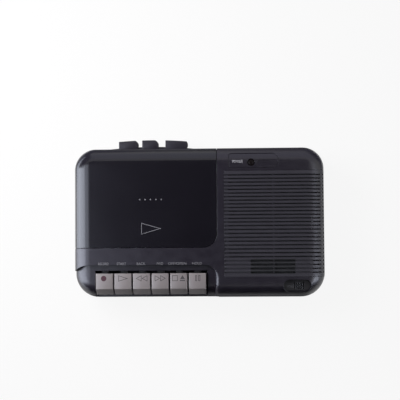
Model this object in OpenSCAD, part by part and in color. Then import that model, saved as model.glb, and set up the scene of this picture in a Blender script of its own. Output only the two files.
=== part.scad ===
// Portable cassette recorder lying on its back: front face up, keys along the near edge.
// Millimetres, +Z up out of the front face, +X to the right, +Y from the key edge to the rear edge.

/* [Body] */
// Width of the case
body_w = 188; // [186:1:192]
// Depth of the case from the key edge to the rear edge
body_d = 112; // [111.5:0.5:114]
// Height of the front face above the table
body_h = 42; // [42:0.5:43]
// Wall of the case mouldings
wall = 2.2; // [2.1:0.1:2.4]
// Plan radius of the two front corners
front_corner_r = 18; // [17:0.5:18]
// Plan radius of the two rear corners
rear_corner_r = 16; // [15.5:0.5:16.5]
// Radius of the rolled edge round the front face
roll_r = 9.5; // [9:0.25:9.5]
// Radius of the edge round the back face
back_edge_r = 3.5; // [3:0.5:4]
// Height of the rubber feet
foot_h = 1.2; // [1:0.1:1.5]

/* [Cassette door] */
// Width of the door from the left side of the case
door_w = 107.5; // [107.2:0.1:107.6]
// Distance of the door's free edge from the key edge
door_v = 37.5; // [37.2:0.1:37.7]
// Radius of the free corner of the door
door_corner_r = 10; // [9:0.5:11]
// Clearance round the door
door_gap = 0.35; // [0.3:0.05:0.4]
// Thickness of the smoked outer cover of the door
cover_t = 1.6; // [1.5:0.1:1.6]
// Thickness of the inner frame of the door
frame_t = 1.6; // [1.5:0.1:1.6]

/* [Keys] */
// Number of piano keys
key_n = 6; // [6]
// Width of one key
key_w = 12.7; // [12.4:0.05:12.7]
// Distance from one key to the next
key_pitch = 13.93; // [13.85:0.01:14]
// Depth of the shelf that the keys stand in
well_drop = 5; // [4.5:0.25:5]
// Height of the key tops under the front face
key_drop = 1; // [0.75:0.25:1.5]

/* [Speaker grille] */
// Number of grooves across the grille
groove_n = 27; // [25:1:27]
// Width of one groove
groove_w = 1.25; // [1.1:0.05:1.35]
// Depth of one groove
groove_d = 1.1; // [0.9:0.1:1.2]
// Width of the slits in the floors of the grooves
slit_w = 0.6; // [0.5:0.05:0.7]

/* [Rear controls] */
// Reach of the slide knobs past the rear wall
knob_reach = 7.85; // [7.25:0.05:7.85]
// Rise of the bowed control strip on the rear wall
strip_rise = 2.8; // [2.6:0.1:2.8]

/* [Deck] */
// Distance between the two tape spindles
spindle_gap = 42.5; // [42.5]
// Radius of the capstan
capstan_r = 1; // [1:0.05:1.1]
// Radius of the flywheel
fly_r = 18.6; // [18:0.2:18.6]
// Radius of the pinch roller
pinch_r = 5; // [4.8:0.1:5]

/* [Hidden] */
$fn = 48;
front_y = -(body_d + knob_reach) / 2;
rear_y = front_y + body_d;
left_x = -body_w / 2;
right_x = body_w / 2;
top_z = body_h;
part_z = 21.5;
roll_z = top_z - roll_r;

door_x = left_x + door_w;
door_z = top_z - cover_t - frame_t - 0.1;
hinge_v = body_d - 5.3;
hinge_z = 26.3;
hinge_pin_r = 1.5;

key_x0 = left_x + 16.77;
key_top = top_z - key_drop;
well_z = top_z - well_drop;
pivot_v = 25.5;
pivot_z = 31;
pivot_r = 1.25;

grille_x = door_x + 5.6;
grille_v0 = 15.25;
grille_v1 = body_d - 17.5;
groove_v0 = grille_v0 + 3.3;
bar_x = grille_x + 36.8;
speaker_x = grille_x + 34;
speaker_v = (grille_v0 + grille_v1) / 2;
mic_x = right_x - 21;
mic_v = 8.5;
lamp_x = door_x + 25.9;
lamp_v = body_d - 11.4;
lamp_r = 2.8;

tape_x = left_x + 54.8;
hub_v = body_d - 38.2;
tape_v = hub_v - 34.8;
tape_z = 32;
deck_z = 22.4;
deck_t = 1.2;
deck_top = deck_z + deck_t;
tray_t = 1.2;
tray_top = deck_top + tray_t;
cap_x = tape_x + 31;
cap_v = tape_v + 5.4;
sup_x = tape_x - spindle_gap / 2;
tak_x = tape_x + spindle_gap / 2;
hub_r = 6.5;
idler_r = 8;
drum_r = 10;
motor_x = -66;
motor_v = 50;
belt_z = 6.5;
head_travel = 4.5;
roller_v = cap_v - capstan_r - pinch_r - 0.1 - head_travel;

// Idler centre, found from the two wheels that it touches
fi_a = hub_r + idler_r + 0.1;
fi_b = idler_r + drum_r + 0.1;
ft_d = sqrt(pow(tak_x - cap_x, 2) + pow(hub_v - cap_v, 2));
ft_angle = atan2(hub_v - cap_v, tak_x - cap_x);
fi_angle = ft_angle - acos((fi_a * fi_a + ft_d * ft_d - fi_b * fi_b) / (2 * fi_a * ft_d));
idler_x = cap_x + fi_a * cos(fi_angle);
idler_v = cap_v + fi_a * sin(fi_angle);

bay_x0 = 25.2;
bay_x1 = 85.2;
bay_v0 = 32.2;
bay_v1 = 91;
bay_top = 18;
cell_x = [for (i = [0 : 3]) bay_x0 + 7.5 + 15 * i];
lid_x = 23.5;
lid_v0 = 33.6;
lid_v1 = 89.6;

screw_points = [[-85, 12.5], [84.5, 11], [86, 100.5], [-86.6, 66], [19, 8]];
post_points = [[-85.5, 33], [-85.5, 90], [9.6, 31.5], [8, 90]];
foot_points = [[-73, 13], [73, 13], [-73, 90], [73, 99]];
jack_x = [28, 44, 60];
jack_z = 14.5;
knob_x = [left_x + 32.15, left_x + 50.1, left_x + 68.05];
knob_w = [14.5, 12.2, 17];
strip_x = left_x + 57.8;
strip_w = 84;
strip_r = strip_w * strip_w / (8 * strip_rise) + strip_rise / 2;
strip_z0 = 7;
strip_z1 = 20;
knob_z = 16;
knob_z0 = 12.4;
knob_z1 = 21.8;
knob_v = body_d + strip_rise + 0.4;

case_grey = [0.17, 0.18, 0.2];
door_black = [0.06, 0.06, 0.07];
key_grey = [0.66, 0.63, 0.64];
steel = [0.72, 0.73, 0.75];
brass = [0.8, 0.65, 0.35];
rubber = [0.1, 0.1, 0.1];

// Puts a piece at a distance v from the key edge
module place(x, v, z = 0) {
    translate([x, front_y + v, z]) children();
}

// Draws a side profile, given as distance from the key edge and height, w wide to the right of x
module side_profile(x, w) {
    translate([x, front_y, 0]) rotate([90, 0, 90]) linear_extrude(w) children();
}

// Section of a case wall with a rolled upper edge
module edge_section(r, z0, z1, roll) {
    translate([0, z0]) square([r - roll, z1 - z0]);
    translate([0, z0]) square([r, z1 - z0 - roll]);
    translate([r - roll, z1 - roll]) intersection() {
        circle(roll);
        square(roll + 1);
    }
}

// Solid of the case outline taken in by inset, with its upper edge rolled
module pillow(inset, z0, z1, roll) {
    rf = front_corner_r - inset;
    rr = rear_corner_r - inset;
    x1 = body_w / 2 - inset;
    y0 = front_y + inset;
    y1 = rear_y - inset;
    for (side = [0, 1]) mirror([side, 0, 0]) {
        translate([x1 - rr, y1 - rr, 0]) rotate_extrude(angle = 90) edge_section(rr, z0, z1, roll);
        translate([x1 - rf, y0 + rf, 0]) rotate([0, 0, -90]) rotate_extrude(angle = 90)
            edge_section(rf, z0, z1, roll);
        translate([x1 - rr, y1 - rr, 0]) rotate([90, 0, 0]) linear_extrude(y1 - rr - y0 - rf)
            edge_section(rr, z0, z1, roll);
    }
    translate([rr - x1, y1 - rr, 0]) rotate([90, 0, 90]) linear_extrude(2 * (x1 - rr))
        edge_section(rr, z0, z1, roll);
    mirror([0, 1, 0]) translate([rf - x1, -y0 - rf, 0]) rotate([90, 0, 90]) linear_extrude(2 * (x1 - rf))
        edge_section(rf, z0, z1, roll);
    translate([rr - x1, y0 + rf, z0]) cube([2 * (x1 - rr), y1 - rr - y0 - rf, z1 - z0]);
}

// The same solid with its lower edge rolled
module tub(inset, z0, z1, roll) {
    translate([0, 0, z0 + z1]) mirror([0, 0, 1]) pillow(inset, z0, z1, roll);
}

// Upper half of the case outline, taken in by inset
module upper(inset, z0) {
    pillow(inset, z0, top_z - inset, roll_r - inset);
}

// Flat rounded slot of length l and width w along X
module slot_2d(l, w) {
    square([l - w, w], center = true);
    for (s = [-1, 1]) translate([s * (l - w) / 2, 0]) circle(w / 2);
}

// Plan of the key shelf: large round at the left end, smaller round at the right end
module well_plan(grow) {
    v1 = 24.6 + grow;
    x1 = door_x + 1.2 + grow;
    rl = 17.7 + grow;
    rr = 11 + grow;
    xl = left_x + 12;
    translate([xl, v1 - rl]) circle(rl);
    translate([x1 - rr, v1 - rr]) circle(rr);
    translate([xl, -1]) square([x1 - rr - xl, v1 + 1]);
    translate([x1 - rr - 1, -1]) square([rr + 1, v1 - rr + 1]);
    translate([xl - rl, -1]) square([rl + 1, v1 - rl + 1]);
}

// Plan of the door, drawn grow larger than the door itself
module door_plan(grow) {
    x1 = door_x + grow;
    v0 = door_v - grow;
    r = door_corner_r + grow;
    translate([left_x - 2, v0]) square([x1 - r - left_x + 2, body_d + 4 - v0]);
    translate([x1 - r - 1, v0 + r]) square([r + 1, body_d + 4 - v0 - r]);
    translate([x1 - r, v0 + r]) circle(r);
}

// Space taken by the door: low at the rear, higher along the left side
module door_space(grow, z_side, z_corner, v_corner, z_rear, v_rear) {
    place(0, 0, z_side) linear_extrude(top_z + 2 - z_side) door_plan(grow);
    place(left_x - 2, v_corner, z_corner)
        cube([door_x + grow - left_x + 2, body_d + 4 - v_corner, z_side + 0.5 - z_corner]);
    place(left_x - 2, v_rear, z_rear)
        cube([door_x + grow - left_x + 2, body_d + 4 - v_rear, z_corner + 0.5 - z_rear]);
}

// Outline of the indicator field, used for a narrow groove
module indicator_plan(grow) {
    x0 = door_x + 9 - grow;
    x1 = door_x + 46.9 + grow;
    v0 = body_d - 15.8 - grow;
    v1 = body_d - 4.5 + grow;
    r = 2 + grow;
    re = (v1 - v0) / 2;
    translate([x0, v0 + r]) square([2 * r, v1 - v0 - 2 * r]);
    translate([x0 + r, v0]) square([x1 - re - x0 - r, v1 - v0]);
    translate([x0 + r, v0 + r]) circle(r);
    translate([x0 + r, v1 - r]) circle(r);
    translate([x1 - re, (v0 + v1) / 2]) circle(re);
}

// Shell of the key shelf: the case's rolled edge again, lower by the depth of the shelf
module shelf_shell() {
    translate([0, 0, -well_drop]) difference() {
        upper(0, part_z);
        upper(wall, part_z - 1);
    }
}

// Upper case moulding with its posts, shelf for the keys and frame for the grille
module front_case() {
    color(case_grey)
    difference() {
        difference() {
            difference() {
                union() {
                    difference() {
                        upper(0, part_z);
                        upper(wall, part_z - 1);
                    }
                    intersection() {
                        upper(0.5, part_z);
                        union() {
                            place(0, 0, well_z - wall)
                                linear_extrude(top_z + 0.5 - well_z) well_plan(wall);
                            for (p = [screw_points[1], screw_points[2], screw_points[4]])
                                place(p[0], p[1], part_z) cylinder(r = 3.3, h = top_z - part_z);
                            place(door_x + door_gap, door_v + 8, part_z + 1)
                                cube([1.8, body_d - door_v - 9, top_z - wall - part_z]);
                            place(mic_x, mic_v, top_z - 6) linear_extrude(5) slot_2d(24, 12);
                        }
                    }
                    intersection() {
                        shelf_shell();
                        place(0, 0, part_z) linear_extrude(top_z) well_plan(wall);
                    }
                    for (p = [screw_points[1], screw_points[2], screw_points[4]])
                        place(p[0], p[1], 12) cylinder(r = 3.3, h = part_z - 11);
                    place(screw_points[0][0], screw_points[0][1], 12) cylinder(r = 3.3, h = well_z - 13);
                    place(screw_points[3][0], screw_points[3][1], 12) cylinder(r = 3.3, h = deck_z - 12);
                    place(left_x + 1, screw_points[3][1] - 1.5, part_z)
                        cube([screw_points[3][0] - left_x - 3, 3, deck_z - part_z]);
                    place(grille_x - 2, grille_v0 - 2, top_z - wall - 1.4)
                        cube([right_x - grille_x - 9, grille_v1 - grille_v0 + 4, 1.9]);
                }
                door_space(door_gap, 29.65, 26, 99.65, part_z - 0.5, hinge_v - 0.8);
                difference() {
                    place(0, 0, part_z + 1) linear_extrude(top_z) well_plan(0);
                    translate([0, 0, -well_drop]) upper(0, part_z);
                }
                place(key_x0 - 1, -1, 26.5) cube([key_n * key_pitch + 1, 21.2, 20]);
            }
            place(grille_x + 2, grille_v0 + 2, top_z - wall - 3)
                cube([right_x - grille_x + 5, grille_v1 - grille_v0 - 4, 10]);
            place(grille_x, grille_v0, top_z - wall)
                cube([right_x - grille_x + 5, grille_v1 - grille_v0, 10]);
            place(right_x - roll_r - 1, grille_v0, roll_z - 0.3)
                cube([roll_r + 6, grille_v1 - grille_v0, roll_r + 5]);
        }
        place(mic_x, mic_v, top_z - 3.8) linear_extrude(10) slot_2d(20.8, 9.2);
        for (i = [0 : 4]) place(mic_x - 2 + 1.6 * i, mic_v, top_z - 9) linear_extrude(10)
            rotate(90) slot_2d(5.4, 0.8);
        place(lamp_x, lamp_v, top_z - 5) cylinder(r = lamp_r, h = 10);
        difference() {
            place(0, 0, top_z - 6) linear_extrude(10) difference() {
                indicator_plan(0);
                indicator_plan(-0.5);
            }
            upper(0.5, part_z - 1);
        }
        difference() {
            place(lamp_x + 12.2, lamp_v - 0.6, top_z - 6) linear_extrude(10) slot_2d(16.4, 4.6);
            upper(0.4, part_z - 1);
        }
        for (p = screw_points) place(p[0], p[1], 11) cylinder(r = 1.4, h = 10);
    }
}

// Lower case moulding with the battery box, posts, control strip and sockets
module rear_case() {
    color(case_grey)
    difference() {
        union() {
            difference() {
                tub(0, foot_h, part_z, back_edge_r);
                tub(wall, foot_h + wall, part_z + 1, back_edge_r - wall);
            }
            place(bay_x0 - 1.2, bay_v0 - 1.2, foot_h + wall - 0.1)
                cube([bay_x1 - bay_x0 + 2.4, bay_v1 - bay_v0 + 2.4, bay_top + 1.2 - foot_h - wall + 0.1]);
            for (p = screw_points) place(p[0], p[1], foot_h + 1) cylinder(r = 4.2, h = 12 - foot_h - 1);
            for (p = post_points) place(p[0], p[1], foot_h + 1) cylinder(r = 2.9, h = deck_z - foot_h - 1);
            place(cap_x, cap_v, foot_h + 1) cylinder(r = 4, h = 2.8 - foot_h);
            for (x = [-67, 0, 66]) place(x, 101.5, foot_h + 1) cylinder(r = 2.5, h = 8.4 - foot_h - 1);
            intersection() {
                place(strip_x, body_d + strip_rise - strip_r, strip_z0)
                    cylinder(r = strip_r, h = strip_z1 - strip_z0, $fn = 360);
                place(strip_x - strip_w / 2 - 4, body_d - 1, strip_z0)
                    cube([strip_w + 8, strip_rise + 3, strip_z1 - strip_z0]);
            }
        }
        place(bay_x0, bay_v0, foot_h + wall)
            cube([bay_x1 - bay_x0, bay_v1 - bay_v0, bay_top - foot_h - wall]);
        place(lid_x - 0.25, lid_v0 - 0.25, -1)
            cube([right_x - lid_x + 5, lid_v1 - lid_v0 + 0.5, foot_h + wall + 1.2]);
        place(right_x - wall - 2, lid_v0 - 0.25, -1)
            cube([wall + 5, lid_v1 - lid_v0 + 0.5, foot_h + back_edge_r + 1.25]);
        place(lid_x - 0.25, lid_v0 - 1.6, foot_h + 0.65)
            cube([right_x - lid_x + 5, lid_v1 - lid_v0 + 3.2, 1.1]);
        for (p = screw_points) place(p[0], p[1], 0) {
            cylinder(r = 1.6, h = 13);
            cylinder(r = 2.9, h = 8);
        }
        for (p = post_points) place(p[0], p[1], deck_z - 10) cylinder(r = 1.25, h = 12);
        for (p = foot_points) place(p[0], p[1], 0) cylinder(r = 5.1, h = foot_h + 0.8);
        for (i = [0 : 2]) place(knob_x[i], body_d - 5, knob_z - 1.6)
            cube([knob_w[i], 12, 3.2]);
        place(jack_x[0], body_d + 1, jack_z) rotate([90, 0, 0]) cylinder(r = 4.6, h = 6);
        place(jack_x[1], body_d + 1, jack_z) rotate([90, 0, 0]) cylinder(r = 3.6, h = 6);
        place(jack_x[2], body_d + 1, jack_z) rotate([90, 0, 0]) cylinder(r = 3.6, h = 6);
    }
}

// Section of the grille between two depths under the surface
module grille_band(d0, d1) {
    difference() {
        translate([grille_x + 0.15, 0])
            edge_section(right_x - grille_x - 0.15 - d0, roll_z - 0.15, top_z - d0, roll_r - d0);
        translate([grille_x - 5, 0])
            edge_section(right_x - grille_x + 5 - d1, roll_z - 2, top_z - d1, roll_r - d1);
    }
}

// Place of a groove from the near edge: the steps are a little wider up to the thirteenth groove
function groove_at(i) = groove_v0 + 2.9 * min(i, 12) + 2.7 * max(i - 12, 0);

// Ribbed grille, wrapped round the right edge, with slits in the grooves that run over the roll,
// and a block of four wider ones
module speaker_grille() {
    v0 = grille_v0 + 0.15;
    v1 = grille_v1 - 0.15;
    color(case_grey)
    intersection() {
        upper(0, part_z);
        difference() {
            union() {
                place(0, v1) rotate([90, 0, 0]) linear_extrude(v1 - v0) grille_band(groove_d, wall);
                for (i = [0 : groove_n]) {
                    a = i == 0 ? v0 : groove_at(i - 1) + groove_w / 2;
                    b = i == groove_n ? v1 : groove_at(i) - groove_w / 2;
                    place(0, b) rotate([90, 0, 0]) linear_extrude(b - a) grille_band(0, groove_d);
                }
            }
            for (i = [0 : groove_n - 1]) {
                w = i < 4 ? 1.55 : slit_w;
                x0 = i < 4 ? bar_x - 17.4 : grille_x + 3;
                x1 = i < 4 ? bar_x + 15.7 : right_x - 3.1;
                place(x0, groove_at(i) - w / 2, top_z - 6.2) cube([bar_x - 0.6 - x0, w, 6.2]);
                place(bar_x + 0.6, groove_at(i) - w / 2, top_z - 6.2) cube([x1 - bar_x - 0.6, w, 6.2]);
            }
            for (i = [0 : 3]) place(right_x - roll_r, groove_at(i) - slit_w / 2, top_z - 6.2)
                cube([roll_r - 3.1, slit_w, 6.2]);
        }
    }
}

// Cloth behind the grille
module speaker_cloth() {
    color([0.05, 0.05, 0.05])
    place(grille_x + 2.3, grille_v0 + 2.3, top_z - wall - 0.6)
        cube([right_x - roll_r - 0.5 - grille_x - 2.3, grille_v1 - grille_v0 - 4.6, 0.6]);
}

// Pressed steel frame of the loudspeaker
module speaker_frame() {
    z1 = top_z - wall - 0.6;
    color(steel)
    place(speaker_x, speaker_v) rotate_extrude()
        polygon([[31.6, z1], [31.6, z1 - 1.2], [29.4, z1 - 1.2], [18.6, 25], [6, 25], [6, 26], [18, 26],
            [28.4, z1 - 0.9], [28.4, z1]]);
}

// Paper cone with its dust cap
module speaker_cone() {
    z1 = top_z - wall - 2;
    color([0.12, 0.12, 0.12])
    place(speaker_x, speaker_v) rotate_extrude()
        polygon([[0, 31], [5, 30.4], [8.5, 28.6], [9, 28], [25.4, z1 - 0.6], [27, z1], [25.4, z1 - 0.1],
            [9, 28.6], [5.2, 31], [0, 31.6]]);
}

// Magnet and back plate of the loudspeaker
module speaker_magnet() {
    color([0.2, 0.2, 0.21])
    place(speaker_x, speaker_v) {
        translate([0, 0, 19.4]) cylinder(r = 16, h = 1);
        translate([0, 0, 20.4]) cylinder(r = 16.5, h = 4.6);
        translate([0, 0, 25]) cylinder(r = 5.9, h = 2.4);
    }
}

// Indicator lamp with its flange under the front face
module indicator_lamp() {
    color([0.35, 0.03, 0.03])
    place(lamp_x, lamp_v, 0) {
        translate([0, 0, top_z - wall - 3.2]) cylinder(r = lamp_r + 0.5, h = 1);
        intersection() {
            translate([0, 0, top_z - wall - 4]) cylinder(r = lamp_r, h = wall + 4);
            translate([0, 0, top_z - 5.3]) sphere(5);
        }
    }
}

// Electret capsule behind the slotted oval recess
module microphone() {
    color(steel)
    place(mic_x + 1.2, mic_v + 1.5, top_z - 11) cylinder(r = 4, h = 4.8);
}

// Rubber boot round the capsule
module microphone_boot() {
    color(rubber)
    place(mic_x + 1.2, mic_v + 1.5, top_z - 12) difference() {
        cylinder(r = 5, h = 6);
        translate([0, 0, 1]) cylinder(r = 4.05, h = 6);
    }
}

// Four feet pressed into shallow seats
module rubber_feet() {
    color(rubber)
    for (p = foot_points) place(p[0], p[1], 0) cylinder(r = 5, h = foot_h + 0.8);
}

// Five screws that hold the two case halves
module case_screws() {
    color(steel)
    for (p = screw_points) place(p[0], p[1], 0) difference() {
        union() {
            translate([0, 0, 6.4]) cylinder(r = 2.7, h = 1.6);
            translate([0, 0, 8]) cylinder(r = 1.35, h = 12);
        }
        translate([-2, -0.4, 6]) cube([4, 0.8, 1]);
        translate([-0.4, -2, 6]) cube([0.8, 4, 1]);
    }
}

// Sliding lid of the battery box, running out to the right side of the case
module battery_lid() {
    color(case_grey)
    union() {
        intersection() {
            difference() {
                tub(0, foot_h, part_z, back_edge_r);
                tub(wall, foot_h + wall, part_z + 1, back_edge_r - wall);
            }
            union() {
                place(lid_x, lid_v0, 0) cube([right_x - lid_x + 5, lid_v1 - lid_v0, foot_h + wall + 0.2]);
                place(right_x - wall - 1, lid_v0, 0)
                    cube([wall + 5, lid_v1 - lid_v0, foot_h + back_edge_r]);
            }
        }
        for (v = [lid_v0 - 1.3, lid_v1]) place(lid_x + 1, v, foot_h + 0.8)
            cube([right_x - lid_x - 6, 1.3, 0.8]);
        for (i = [0 : 3]) place(right_x - 16 + 2.4 * i, (lid_v0 + lid_v1) / 2 - 12, foot_h - 0.5)
            cube([1, 24, 0.6]);
    }
}

// Bent leaf contacts at the negative ends of the four cells
module battery_springs() {
    color(steel)
    for (i = [0 : 3]) place(cell_x[i] - 4, i % 2 == 0 ? bay_v0 : bay_v1) mirror([0, i % 2, 0]) {
        translate([0, 0, 4]) cube([8, 0.5, 12]);
        translate([0, 0.4, 8]) cube([8, 2.4, 0.5]);
        translate([0, 2.3, 8]) cube([8, 0.5, 4.5]);
    }
}

// Flat contacts at the positive ends
module battery_plates() {
    color(brass)
    for (i = [0 : 3]) place(cell_x[i] - 4, i % 2 == 0 ? bay_v1 - 0.5 : bay_v0, 4) {
        cube([8, 0.5, 12]);
    }
}

// Long narrow board along the rear wall
module circuit_board() {
    color([0.16, 0.32, 0.2])
    union() {
        place(-71, 95.8, 8.4) cube([141, 12, 1.6]);
        place(-4, 97, 9.9) cube([9, 7, 3]);
        for (x = [10, 16.5]) place(x, 101, 9.9) cylinder(r = 2.6, h = 8);
    }
}

// Bodies of the three slide controls, open along the top for their levers
module slide_controls() {
    color(steel)
    for (i = [0 : 2]) place(knob_x[i] - 1.2, 100, 10) difference() {
        cube([knob_w[i] + 2.4, 7, knob_z - 6.6]);
        translate([0.8, 1.2, knob_z - 12]) cube([knob_w[i] + 0.8, 7, 4]);
    }
}

// Power inlet with its centre pin
module dc_jack() {
    color(rubber)
    place(jack_x[0], body_d, jack_z) {
        difference() {
            union() {
                rotate([90, 0, 0]) cylinder(r = 4.5, h = 6);
                translate([-5, -14, -4.5]) cube([10, 10, 9]);
            }
            translate([0, 1, 0]) rotate([90, 0, 0]) cylinder(r = 2.85, h = 10);
        }
        translate([0, -2, 0]) rotate([90, 0, 0]) cylinder(r = 0.85, h = 9);
    }
}

// Small socket with a plain round bore
module socket(x) {
    place(x, body_d, jack_z) difference() {
        union() {
            rotate([90, 0, 0]) cylinder(r = 3.5, h = 6);
            translate([-5, -15, -4.5]) cube([10, 11, 9]);
        }
        translate([0, 1, 0]) rotate([90, 0, 0]) cylinder(r = 1.8, h = 14);
    }
}

// Earphone socket
module ear_jack() {
    color(rubber) socket(jack_x[1]);
}

// Microphone socket
module mic_jack() {
    color(rubber) socket(jack_x[2]);
}

// Steel deck plate with upright ears for the key shaft
module deck_chassis() {
    color(steel)
    difference() {
        union() {
            place(-90, 27.2, deck_z) cube([102.2, 74, deck_t]);
            for (x = [tape_x - 22.6, tape_x + 20]) place(x, 35.4, deck_z) cylinder(r = 1.2, h = 3.6);
            for (x = [-83, 9.7]) {
                place(x, 22, deck_z) cube([1.6, 6.4, pivot_z - deck_z]);
                place(x, pivot_v, pivot_z) rotate([0, 90, 0]) cylinder(r = 3.2, h = 1.6);
            }
        }
        place(-95, pivot_v, pivot_z) rotate([0, 90, 0]) cylinder(r = pivot_r, h = 120);
        for (p = post_points) place(p[0], p[1], 0) cylinder(r = 1.6, h = 40);
        place(cap_x, cap_v, 0) cylinder(r = 4, h = 40);
        for (x = [sup_x, tak_x]) place(x, hub_v, 0) cylinder(r = 3.5, h = 40);
        place(idler_x, idler_v, 0) cylinder(r = 1.25, h = 40);
        place(motor_x, motor_v, 0) cylinder(r = 3, h = 40);
    }
}

// Screws that hold the deck plate on its four posts
module deck_screws() {
    color(steel)
    for (p = post_points) place(p[0], p[1], 0) difference() {
        union() {
            translate([0, 0, deck_top]) cylinder(r = 2.6, h = 1.4);
            translate([0, 0, deck_top - 8]) cylinder(r = 1.2, h = 8);
        }
        translate([-2, -0.35, deck_top + 0.8]) cube([4, 0.7, 1]);
    }
}

// Side view of a bracket that carries a hinge pin
module bracket_2d() {
    translate([hinge_v, hinge_z]) circle(3);
    translate([hinge_v - 5, deck_top]) square([5, hinge_z - deck_top]);
    translate([hinge_v - 5, deck_top]) square([2.5, hinge_z + 1.4 - deck_top]);
}

// Plastic floor of the cassette bay with the two hinge brackets and the closing wall at the rear
module bay_tray() {
    color([0.1, 0.1, 0.11])
    difference() {
        union() {
            place(-90.5, door_v + 0.6, deck_top) cube([102, hinge_v - 0.9 - door_v - 0.6, tray_t]);
            for (x = [-76.4, 5]) side_profile(x, 2.4) bracket_2d();
            place(-76.4, hinge_v - 2.1, deck_top) cube([83.8, 1.2, 4]);
        }
        for (x = [-80, 4.5]) place(x, hinge_v, hinge_z) rotate([0, 90, 0]) cylinder(r = hinge_pin_r, h = 8);
        for (x = [sup_x, tak_x]) place(x, hub_v, 0) cylinder(r = 6, h = 40);
        place(cap_x, cap_v, 0) cylinder(r = 4.2, h = 26);
        for (x = [-81.9, 7.4]) place(x, hinge_v - 3.5, 0) cube([5.5, 10, 40]);
        place(-95, hinge_v - 3.5, 0) cube([14, 10, 40]);
        place(-95, hinge_v - 7.2, 0) cube([10.5, 10, 40]);
        for (p = post_points) place(p[0], p[1], 0) cylinder(r = 4, h = 40);
        place(tape_x - 29, door_v - 1, 0) cube([73, 1 + head_travel + 1.6, 40]);
    }
}

// Pins that locate the cassette
module locating_pins() {
    color(steel)
    for (s = [-1, 1]) place(tape_x + 25 * s, tape_v + 9, tray_top) {
        cylinder(r = 2.6, h = 1.2);
        translate([0, 0, 1.2]) cylinder(r1 = 1.6, r2 = 1.1, h = 4.8);
    }
}

// Motor can hung under the deck plate, with its shaft
module motor() {
    color(steel)
    place(motor_x, motor_v, 0) difference() {
        union() {
            translate([0, 0, 9.6]) cylinder(r = 13, h = deck_z - 9.6);
            translate([0, 0, 4.4]) cylinder(r = 1, h = 6);
        }
        translate([0, 0, deck_z - 2]) cylinder(r = 3, h = 3);
    }
}

// Grooved pulley on the motor shaft
module motor_pulley() {
    color(brass)
    place(motor_x, motor_v, 0) rotate_extrude()
        polygon([[1.05, 4.4], [4.4, 4.4], [4.4, 5.6], [3.2, 5.8], [3.2, 7.2], [4.4, 7.4], [4.4, 8.8],
            [1.05, 8.8]]);
}

// Points along an arc
function arc_points(x, v, r, a0, a1, n) =
    [for (i = [0 : n]) [x + r * cos(a0 + (a1 - a0) * i / n), v + r * sin(a0 + (a1 - a0) * i / n)]];

// Closed line round the flywheel and the pulley along their common tangents
function belt_line(ra, rb, phi, beta) =
    concat(arc_points(cap_x, cap_v, ra, phi + beta, phi + 360 - beta, 36),
        arc_points(motor_x, motor_v, rb, phi - beta, phi + beta, 12));

// Flat rubber belt from the motor pulley to the flywheel
module drive_belt() {
    ra = fly_r - 0.9;
    rb = 3.5;
    d = sqrt(pow(motor_x - cap_x, 2) + pow(motor_v - cap_v, 2));
    phi = atan2(motor_v - cap_v, motor_x - cap_x);
    beta = acos((ra - rb) / d);
    color(rubber)
    place(0, 0, belt_z - 0.5) linear_extrude(1) difference() {
        polygon(belt_line(ra + 0.8, rb + 0.8, phi, beta));
        polygon(belt_line(ra, rb, phi, beta));
    }
}

// Flywheel with the belt groove and the friction hub that drives the idler
module flywheel() {
    z = belt_z;
    r = fly_r;
    color(brass)
    place(cap_x, cap_v, 0) rotate_extrude()
        polygon([[capstan_r, 4.2], [r, 4.2], [r, z - 0.8], [r - 1.2, z - 0.7], [r - 1.2, z + 0.7],
            [r, z + 0.8], [r, 8.4], [hub_r, 8.4], [hub_r, 13.2], [capstan_r, 13.2]]);
}

// Capstan shaft
module capstan() {
    color(steel)
    place(cap_x, cap_v, 3.8) cylinder(r = capstan_r, h = tape_z + 3.6 - 3.8);
}

// Bush that carries the capstan in the deck plate
module capstan_bearing() {
    color(brass)
    place(cap_x, cap_v, 0) difference() {
        union() {
            translate([0, 0, 15]) cylinder(r = 5.5, h = deck_z - 15);
            translate([0, 0, deck_z]) cylinder(r = 4, h = deck_t);
        }
        translate([0, 0, 10]) cylinder(r = capstan_r + 0.05, h = 20);
    }
}

// Rubber tyred idler between the flywheel hub and the take-up drum
module idler_wheel() {
    color(rubber)
    place(idler_x, idler_v, 9.9) difference() {
        cylinder(r = idler_r, h = 3);
        translate([0, 0, -1]) cylinder(r = 1.3, h = 6);
    }
}

// Post of the idler under the deck plate
module idler_post() {
    color(steel)
    place(idler_x, idler_v, 0) {
        translate([0, 0, 8.9]) cylinder(r = 2.4, h = 0.8);
        translate([0, 0, 9.6]) cylinder(r = 1.25, h = deck_z + deck_t - 9.6);
        translate([0, 0, 13.2]) cylinder(r = 2.6, h = deck_z - 13.2);
    }
}

// Ribbed hub of a tape spindle on its turntable
module spindle_top() {
    translate([0, 0, tray_top + 0.6]) cylinder(r = 11, h = 1.2);
    translate([0, 0, tray_top - 1]) cylinder(r = 5, h = 2);
    translate([0, 0, tray_top + 1.7]) cylinder(r = 3.6, h = 4);
    translate([0, 0, tray_top + 5.6]) cylinder(r1 = 3.6, r2 = 1.8, h = 1.3);
    for (a = [0, 120, 240]) rotate([0, 0, a]) translate([0, -0.7, tray_top + 1.7]) cube([4.8, 1.4, 3.8]);
}

// Supply spindle, free to turn
module supply_spindle() {
    color([0.2, 0.2, 0.21])
    place(sup_x, hub_v, 0) {
        spindle_top();
        translate([0, 0, 14.4]) cylinder(r = 2, h = tray_top - 14);
        translate([0, 0, 12.8]) cylinder(r = 3, h = 1.8);
    }
}

// Take-up spindle with the drum under the deck that the idler drives
module takeup_spindle() {
    color([0.2, 0.2, 0.21])
    place(tak_x, hub_v, 0) {
        spindle_top();
        translate([0, 0, 12.6]) cylinder(r = 2, h = tray_top - 12.4);
        translate([0, 0, 9.8]) cylinder(r = drum_r, h = 3.2);
    }
}

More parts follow.
